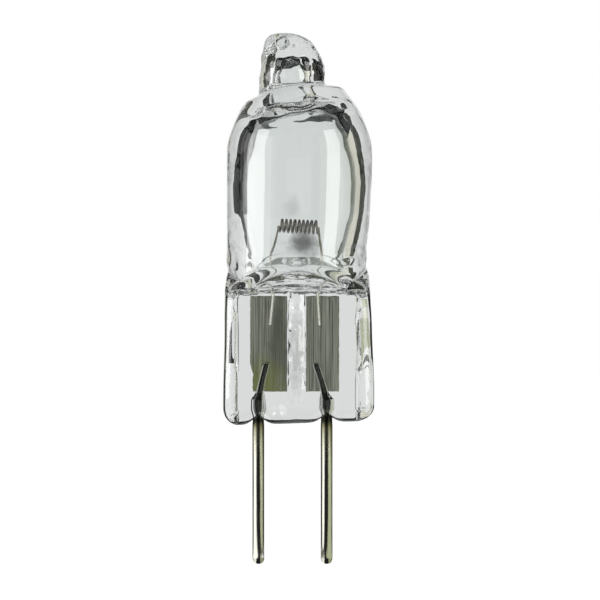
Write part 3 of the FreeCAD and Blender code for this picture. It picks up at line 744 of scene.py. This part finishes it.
class CAPSULE_OT_filament(bpy.types.Operator):
    """Build the tungsten coil and its two legs with one geometry node tree"""

    bl_idname = "capsule.filament"
    bl_label = "Filament"

    def execute(self, context):
        _, wire, _, _ = settings()
        material = tungsten_material(wire)
        tree = self.wire_tree(material)
        obj = bpy.data.objects.new("filament_wire", bpy.data.meshes.new("filament_wire"))
        context.scene.collection.objects.link(obj)
        modifier = obj.modifiers.new("wire", "NODES")
        modifier.node_group = tree
        for name, value in self.tree_values(wire).items():
            modifier[tree.interface.items_tree[name].identifier] = value
        plain_mesh(obj)
        finish_piece(obj, material, "tungsten", "filament")
        return {"FINISHED"}

    def tree_values(self, wire):
        """Sizes and places for the tree's inputs, in metres."""
        half = wire.coil_length / 2 / MM
        arm = wire.coil_diameter / 2 / MM
        values = {
            "Wire radius": wire.wire_diameter / 2,
            "Coil radius": wire.coil_diameter / 2,
            "Coil length": wire.coil_length,
            "Turns": wire.turns,
            "Coil start": Vector((COIL_X - half, 0.0, COIL_Z + half * math.sin(COIL_TILT))) * MM,
        }
        for word, side in SIDES:
            end = Vector((COIL_X + side * half, side * arm, COIL_Z - side * half * math.sin(COIL_TILT)))
            bend = Vector(LEG_BENDS[word])
            values["End " + word] = end * MM
            values["Lean " + word] = bend.lerp(end, 0.6) * MM
            values["Bend " + word] = bend * MM
            values["Knee " + word] = Vector(LEG_KNEES[word]) * MM
            values["Foot " + word] = Vector(LEG_FEET[word]) * MM
        return values

    def wire_tree(self, material):
        """Tree of the wire: a left-handed spiral on its side and, at each end, an arm and an upright foot."""
        tree = bpy.data.node_groups.new("coiled_wire", "GeometryNodeTree")
        for name in ("Wire radius", "Coil radius", "Coil length", "Turns"):
            tree.interface.new_socket(name, in_out="INPUT", socket_type="NodeSocketFloat")
        tree.interface.new_socket("Coil start", in_out="INPUT", socket_type="NodeSocketVector")
        for word, _ in SIDES:
            for name in ("End ", "Lean ", "Bend ", "Knee ", "Foot "):
                tree.interface.new_socket(name + word, in_out="INPUT", socket_type="NodeSocketVector")
        tree.interface.new_socket("Geometry", in_out="OUTPUT", socket_type="NodeSocketGeometry")
        given = add_node(tree, "NodeGroupInput").outputs
        spiral = add_node(tree, "GeometryNodeCurveSpiral", {
            "Resolution": 40,
            "Rotations": given["Turns"],
            "Start Radius": given["Coil radius"],
            "End Radius": given["Coil radius"],
            "Height": given["Coil length"],
            "Reverse": True,
        })
        on_side = Matrix.Rotation(COIL_TILT, 3, "Y") @ Matrix(((0, 0, 1), (-1, 0, 0), (0, -1, 0)))
        coil = add_node(tree, "GeometryNodeTransform", {
            "Geometry": spiral.outputs["Curve"],
            "Translation": given["Coil start"],
            "Rotation": on_side.to_euler(),
        })
        curves = [coil.outputs["Geometry"]]
        for word, _ in SIDES:
            drop = add_node(tree, "ShaderNodeVectorMath", {
                0: given["End " + word], 1: (0.0, 0.0, -0.30 * MM)}, operation="ADD")
            arm = add_node(tree, "GeometryNodeCurvePrimitiveBezierSegment", {
                "Resolution": 24,
                "Start": given["End " + word],
                "Start Handle": drop.outputs["Vector"],
                "End Handle": given["Lean " + word],
                "End": given["Bend " + word],
            })
            curves.append(arm.outputs["Curve"])
            for start, end in (("Bend ", "Knee "), ("Knee ", "Foot ")):
                line = add_node(tree, "GeometryNodeCurvePrimitiveLine", {
                    "Start": given[start + word], "End": given[end + word]})
                curves.append(line.outputs["Curve"])
        together = add_node(tree, "GeometryNodeJoinGeometry")
        for curve in curves:
            tree.links.new(curve, together.inputs["Geometry"])
        section = add_node(tree, "GeometryNodeCurvePrimitiveCircle", {
            "Resolution": 14, "Radius": given["Wire radius"]})
        tube = add_node(tree, "GeometryNodeCurveToMesh", {
            "Curve": together.outputs["Geometry"],
            "Profile Curve": section.outputs["Curve"],
            "Fill Caps": True,
        })
        shaded = add_node(tree, "GeometryNodeSetShadeSmooth", {"Geometry": tube.outputs["Mesh"]})
        real = add_node(tree, "GeometryNodeRealizeInstances", {"Geometry": shaded.outputs["Geometry"]})
        dressed = add_node(tree, "GeometryNodeSetMaterial", {
            "Geometry": real.outputs["Geometry"], "Material": material})
        add_node(tree, "NodeGroupOutput", {"Geometry": dressed.outputs["Geometry"]})
        return tree


class CAPSULE_OT_foils(bpy.types.Operator):
    """Build the two sealing foils: thin strips with feathered, slightly ragged edges"""

    bl_idname = "capsule.foils"
    bl_label = "Foils"

    def execute(self, context):
        _, _, metal, _ = settings()
        material = foil_material(metal)
        for word, side in SIDES:
            strip = self.strip(word, side, metal)
            finish_piece(strip, material, "molybdenum_foil", "foil_" + word)
        return {"FINISHED"}

    def strip(self, word, side, metal):
        """One strip: front and back sheets that run out to a fine edge."""
        low, high = (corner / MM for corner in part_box("foil_" + word))
        low.x -= 0.05 if side < 0 else 0.0
        high.x += 0.08 if side < 0 else -0.10
        columns, rows = 36, 90
        across, along = np.meshgrid(np.linspace(-1, 1, columns + 1), np.linspace(0, 1, rows + 1))
        middle, half = (low.x + high.x) / 2, (high.x - low.x) / 2
        x = middle + half * across
        z = low.z + (high.z - low.z) * along
        place = np.stack([x, np.full_like(x, side * 3.0), z], -1)
        fray = wobble(place, 0.40, 4) * 0.02 + wobble(place, 0.12, 5) * 0.02
        x = x + fray * np.abs(across) ** 6
        z = z + fray * np.abs(2 * along - 1) ** 20
        if side < 0:
            torn = smooth((0.30 - along) / 0.12) * np.clip(-across, 0.0, 1.0) ** 3
            x = x + torn * (0.16 + 0.14 * wobble(place, 0.16, 8))
        wave = 0.012 * wobble(place, 1.1, 6)
        edge = np.minimum(1 - np.abs(across), np.minimum(along, 1 - along) * 5)
        depth = metal.foil_thickness / 2 / MM * (0.15 + 0.85 * smooth(edge / 0.35))
        front = np.stack([x, wave - depth, z], -1)
        back = np.stack([x, wave + depth, z], -1)
        points = np.vstack([front.reshape(-1, 3), back.reshape(-1, 3)])
        faces = []
        stride, offset = columns + 1, (columns + 1) * (rows + 1)
        for row in range(rows):
            for column in range(columns):
                a = row * stride + column
                b, c, d = a + 1, a + stride + 1, a + stride
                faces.append((a, b, c, d))
                faces.append((a + offset, d + offset, c + offset, b + offset))
        rim = list(range(columns)) + [columns + stride * row for row in range(rows)]
        rim += [offset - 1 - column for column in range(columns)]
        rim += [stride * row for row in range(rows, 0, -1)]
        for at, start in enumerate(rim):
            end = rim[(at + 1) % len(rim)]
            faces.append((end, start, start + offset, end + offset))
        mesh = bpy.data.meshes.new("foil_strip_" + word)
        mesh.from_pydata((points * MM).tolist(), [], faces)
        mesh.polygons.foreach_set("use_smooth", [True] * len(mesh.polygons))
        obj = bpy.data.objects.new("foil_strip_" + word, mesh)
        bpy.context.scene.collection.objects.link(obj)
        return obj


class CAPSULE_OT_pins(bpy.types.Operator):
    """Build the two contact pins: rounded ends, drawn stems, and tongues pressed flat on the foils"""

    bl_idname = "capsule.pins"
    bl_label = "Pins"

    def execute(self, context):
        _, _, metal, _ = settings()
        material = pin_material(metal)
        for word, side in SIDES:
            pin = skin_object("contact_pin_" + word, self.stem(word, side, metal))
            finish_piece(pin, material, "pin_metal", "pin_" + word)
        return {"FINISHED"}

    def stem(self, word, side, metal):
        """Rings of one pin, from its free end to the weld on the foil."""
        low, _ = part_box("pin_" + word)
        end = low.z / MM
        radius = metal.pin_diameter / 2 / MM
        lean = TONGUE_LEANS[word]
        rows = [
            (end, radius * 0.28, radius * 0.28, 2.0, 0.0, 0.0),
            (end + 0.03, radius * 0.55, radius * 0.55, 2.0, 0.0, 0.0),
            (end + 0.11, radius * 0.80, radius * 0.80, 2.0, 0.0, 0.0),
            (end + 0.24, radius * 0.95, radius * 0.95, 2.0, 0.0, 0.0),
            (end + 0.38, radius, radius, 2.0, 0.0, 0.0),
            (-0.30, radius, radius, 2.0, 0.0, 0.0),
            (0.20, radius * 0.95, radius * 0.95, 2.0, 0.0, 0.0),
            (1.35, radius * 0.94, radius * 0.94, 2.0, 0.0, 0.0),
            (1.62, 0.235, 0.20, 2.0, lean * 0.08, -0.04),
            (1.85, 0.185, 0.105, 2.3, lean * 0.14, FOIL_FRONT - 0.105),
            (2.40, 0.175, 0.075, 2.6, lean * 0.28, FOIL_FRONT - 0.075),
            (3.40, 0.165, 0.070, 2.6, lean * 0.60, FOIL_FRONT - 0.070),
            (3.50, 0.120, 0.045, 2.4, lean * 0.62, FOIL_FRONT - 0.060),
        ]
        rows = [(z, a, b, n, side * PIN_X + x, y) for z, a, b, n, x, y in rows]
        return rings_of(sample_stations(rows, lambda z: 0.05 if z < end + 0.4 or z > 1.3 else 0.25), 64)


class CAPSULE_OT_stage(bpy.types.Operator):
    """Set up the white floor, the backdrop, the dark cards, the softboxes and the camera"""

    bl_idname = "capsule.stage"
    bl_label = "Studio stage"

    def execute(self, context):
        _, _, _, stage = settings()
        self.add_floor(context, stage)
        self.add_cards(context)
        self.add_softboxes(context, stage)
        self.set_world(context, stage)
        self.add_camera(context, stage)
        context.scene.view_settings.view_transform = "Standard"
        context.scene.cycles.max_bounces = 32
        context.scene.cycles.transmission_bounces = 32
        context.scene.cycles.glossy_bounces = 12
        return {"FINISHED"}

    def seen_directly(self, tree):
        """Nodes that tell camera rays, and rays that come by way of glass or metal, from the rest."""
        path = add_node(tree, "ShaderNodeLightPath").outputs
        by_glass = add_node(tree, "ShaderNodeMath", {
            0: path["Is Glossy Ray"], 1: path["Is Transmission Ray"]}, operation="MAXIMUM")
        return path["Is Camera Ray"], by_glass.outputs["Value"]

    def add_floor(self, context, stage):
        """A pale floor under the pins: white to the camera, yet it keeps the lamp's shadow."""
        material, tree, output = new_material("Studio paper, white")
        camera_ray, by_glass = self.seen_directly(tree)
        white, white_share = 1.15, 0.78
        dull = add_node(tree, "ShaderNodeBsdfDiffuse", {"Color": (*linear("#F4F4F3"), 1)})
        level = add_node(tree, "ShaderNodeMath", {0: by_glass, 1: stage.backdrop}, operation="MULTIPLY")
        level = add_node(tree, "ShaderNodeMath", {
            0: camera_ray, 1: white, 2: level.outputs["Value"]}, operation="MULTIPLY_ADD")
        glow = add_node(tree, "ShaderNodeEmission", {"Strength": level.outputs["Value"]})
        share = add_node(tree, "ShaderNodeMath", {
            0: camera_ray, 1: white_share, 2: by_glass}, operation="MULTIPLY_ADD")
        mixed = add_node(tree, "ShaderNodeMixShader", {
            0: share.outputs["Value"], 1: dull.outputs["BSDF"], 2: glow.outputs["Emission"]})
        tree.links.new(mixed.outputs["Shader"], output.inputs["Surface"])
        level_z = CAD_BOX[0][2]
        corners = [(x, y, level_z) for x, y in ((-1.5, -1.5), (1.5, -1.5), (1.5, 1.5), (-1.5, 1.5))]
        mesh = bpy.data.meshes.new("studio_floor")
        mesh.from_pydata(corners, [], [(0, 1, 2, 3)])
        mesh.materials.append(material)
        floor = bpy.data.objects.new("studio_floor", mesh)
        context.scene.collection.objects.link(floor)

    def add_cards(self, context):
        """Cards round and over the lamp, outside the picture: they draw the dark lines in glass and metal."""
        low, brow, high, far = CAD_BOX[0][2], 0.095, 0.13, 0.16
        floor, under_pin = low + 0.2 * MM, low + 0.02 * MM

        def upright(start, end, bottom, top):
            """A card that stands at the far distance, between two bearings."""
            return [(start, far, bottom), (end, far, bottom), (end, far, top), (start, far, top)]

        def lying(start, end, near, reach, height):
            """A level card between two bearings and two distances."""
            return [(start, near, height), (end, near, height), (end, reach, height), (start, reach, height)]

        # Shade, colour and strength, then for each card its two bearings and where it starts on the floor.
        in_glass = {
            ("black", "#121313", 1.0): [(295, 335, far), (205, 245, 0.060)],
            ("dark_olive", "#2B2D24", 1.0): [(24, 44, 0.040)],
            ("beige", "#D0CDC2", 1.0): [(44, 65, 0.040)],
            ("olive", "#AEB19C", 1.0): [(65, 108, far)],
        }
        in_metal = {
            ("black", "#2C2C2D", 1.0): [(148, 217, 0.003)],
            ("grey", "#3A3A3A", 1.0): [(286, 335, 0.003)],
            ("white", "#FFFFFC", 2.2): [(224, 277, 0.003)],
            ("olive", "#E6EBC4", 1.0): [(82, 148, 0.003)],
            ("dark_olive", "#4A4C40", 1.0): [(28, 76, 0.003)],
        }
        for seen_in, groups in (("glass", in_glass), ("metal", in_metal)):
            for (shade, colour, strength), cards in groups.items():
                spots = []
                for start, end, near in cards:
                    spots += upright(start, end, low, brow)
                    if near < far:
                        spots += lying(start, end, near, far, floor)
                card = self.card(context, "cards_" + shade + "_in_" + seen_in, colour, strength, spots)
                card.visible_glossy = seen_in == "metal"
                card.visible_transmission = seen_in == "glass"
        # The round ends of the pins mirror the floor right under them, so like shades lie round each pin.
        for about in (-PIN_X * MM, PIN_X * MM):
            for shade, colour, strength, start, end, reach in (
                ("black", "#2C2C2D", 1.0, 148, 217, 0.0040),
                ("white", "#FFFFFC", 1.6, 217, 290, 0.0019),
                ("olive", "#C4C8A8", 1.0, 76, 148, 0.0019),
                ("grey", "#3A3A3A", 1.0, 290, 436, 0.0019),
            ):
                spots = []
                step = (end - start) / 4
                for turn in np.linspace(start, end, 5)[:-1]:
                    spots += lying(turn, turn + step, 0.0, reach, under_pin)
                card = self.card(context, "cards_" + shade + "_under_pin", colour, strength, spots, about)
                card.visible_transmission = False
        # A dark fan on the floor, narrow near the lamp, carries the left wall's dark line down to the seal.
        edge, fan, spots = 291, ((0.034, 299), (0.062, 308), (0.092, 312), (0.124, 320), (far, 335)), []
        for (near, start), (reach, end) in zip(fan, fan[1:]):
            spots += [(edge, near, floor), (start, near, floor), (end, reach, floor), (edge, reach, floor)]
        self.card(context, "cards_fan_in_glass", "#1C1E1D", 1.0, spots).visible_glossy = False
        spots = []
        for start in range(0, 360, 30):
            spots += upright(start, start + 30, brow, high)
            spots += lying(start, start + 30, far, 0.0, high)
        self.card(context, "cards_overhead", "#202222", 1.0, spots)

    def card(self, context, name, colour, strength, spots, about=0.0):
        """Flat cards between spots given as bearing from +Y, distance and height, four to a card."""
        points = []
        for bearing, distance, height in spots:
            turn = math.radians(bearing)
            points.append((about + distance * math.sin(turn), distance * math.cos(turn), height))
        material, tree, output = new_material("Studio card, painted " + colour)
        glow = add_node(tree, "ShaderNodeEmission", {"Color": (*linear(colour), 1), "Strength": strength})
        tree.links.new(glow.outputs["Emission"], output.inputs["Surface"])
        mesh = bpy.data.meshes.new(name)
        mesh.from_pydata(points, [], [(at, at + 1, at + 2, at + 3) for at in range(0, len(points), 4)])
        mesh.materials.append(material)
        obj = bpy.data.objects.new(name, mesh)
        context.scene.collection.objects.link(obj)
        obj.visible_camera = obj.visible_diffuse = obj.visible_shadow = False
        return obj

    def add_softboxes(self, context, stage):
        """Two upright softboxes, a wide one on the left and a narrow one on the right."""
        distance, height, middle_z = 0.13, 0.13, 0.045
        for name, bearing, half in (("left", -72.0, 17.0), ("right", 54.5, 11.5)):
            width = 2 * distance * math.tan(math.radians(half))
            lamp = bpy.data.lights.new("softbox_" + name, "AREA")
            lamp.shape, lamp.size, lamp.size_y = "RECTANGLE", width, height
            lamp.energy = stage.softbox * math.pi * width * height
            box = bpy.data.objects.new("softbox_" + name, lamp)
            turn = math.radians(bearing)
            box.location = (distance * math.sin(turn), -distance * math.cos(turn), middle_z)
            facing = Vector((-box.location.x, -box.location.y, 0.0))
            box.rotation_euler = facing.to_track_quat("-Z", "Y").to_euler()
            box.visible_camera = box.visible_transmission = False
            context.scene.collection.objects.link(box)

    def set_world(self, context, stage):
        """White behind the lamp, a little darker by way of glass and metal, and soft on dull surfaces."""
        world = bpy.data.worlds.new("White studio")
        world.use_nodes = True
        tree = world.node_tree
        tree.nodes.clear()
        camera_ray, by_glass = self.seen_directly(tree)
        plain = add_node(tree, "ShaderNodeMath", {
            0: by_glass, 1: stage.backdrop - stage.room, 2: stage.room}, operation="MULTIPLY_ADD")
        level = add_node(tree, "ShaderNodeMath", {
            0: plain.outputs["Value"], 1: camera_ray}, operation="MAXIMUM")
        light = add_node(tree, "ShaderNodeBackground", {
            "Color": (1.0, 1.0, 1.0, 1.0), "Strength": level.outputs["Value"]})
        output = add_node(tree, "ShaderNodeOutputWorld")
        tree.links.new(light.outputs["Background"], output.inputs["Surface"])
        context.scene.world = world

    def add_camera(self, context, stage):
        """A long lens in front of the lamp, at the photograph's distance and height."""
        camera = bpy.data.cameras.new("camera")
        camera.lens, camera.sensor_width = stage.lens, 36.0
        camera.clip_start = 0.002
        distance = stage.view_width * stage.lens / camera.sensor_width
        eye = bpy.data.objects.new("camera", camera)
        offset = Vector((0.0, -math.cos(stage.tilt), math.sin(stage.tilt))) * distance
        eye.location = Vector((stage.aim_x, 0.0, stage.aim_z)) + offset
        eye.rotation_euler = (math.pi / 2 - stage.tilt, 0.0, 0.0)
        context.scene.collection.objects.link(eye)
        context.scene.camera = eye


STEPS = (
    CAPSULE_OT_envelope,
    CAPSULE_OT_filament,
    CAPSULE_OT_foils,
    CAPSULE_OT_pins,
    CAPSULE_OT_stage,
)


class CAPSULE_PT_panel(bpy.types.Panel):
    """Settings and steps of the capsule bulb"""

    bl_idname = "CAPSULE_PT_panel"
    bl_label = "Capsule bulb"
    bl_space_type = "VIEW_3D"
    bl_region_type = "UI"
    bl_category = "Capsule bulb"

    def draw(self, context):
        for group in settings():
            box = self.layout.box()
            for name in group.bl_rna.properties.keys():
                if name not in {"rna_type", "name"}:
                    box.prop(group, name)
        for step in STEPS:
            self.layout.operator(step.bl_idname)


GROUPS = {
    "capsule_glass": GlassSettings,
    "capsule_wire": WireSettings,
    "capsule_seal_metal": SealMetalSettings,
    "capsule_stage": StageSettings,
}


def register():
    for name, group in GROUPS.items():
        bpy.utils.register_class(group)
        setattr(bpy.types.Scene, name, bpy.props.PointerProperty(type=group))
    for step in STEPS:
        bpy.utils.register_class(step)
    bpy.utils.register_class(CAPSULE_PT_panel)


def unregister():
    bpy.utils.unregister_class(CAPSULE_PT_panel)
    for step in reversed(STEPS):
        bpy.utils.unregister_class(step)
    for name, group in reversed(GROUPS.items()):
        delattr(bpy.types.Scene, name)
        bpy.utils.unregister_class(group)


def main():
    register()
    bpy.ops.capsule.envelope()
    bpy.ops.capsule.filament()
    bpy.ops.capsule.foils()
    bpy.ops.capsule.pins()
    bpy.ops.capsule.stage()


if __name__ == "__main__":
    main()
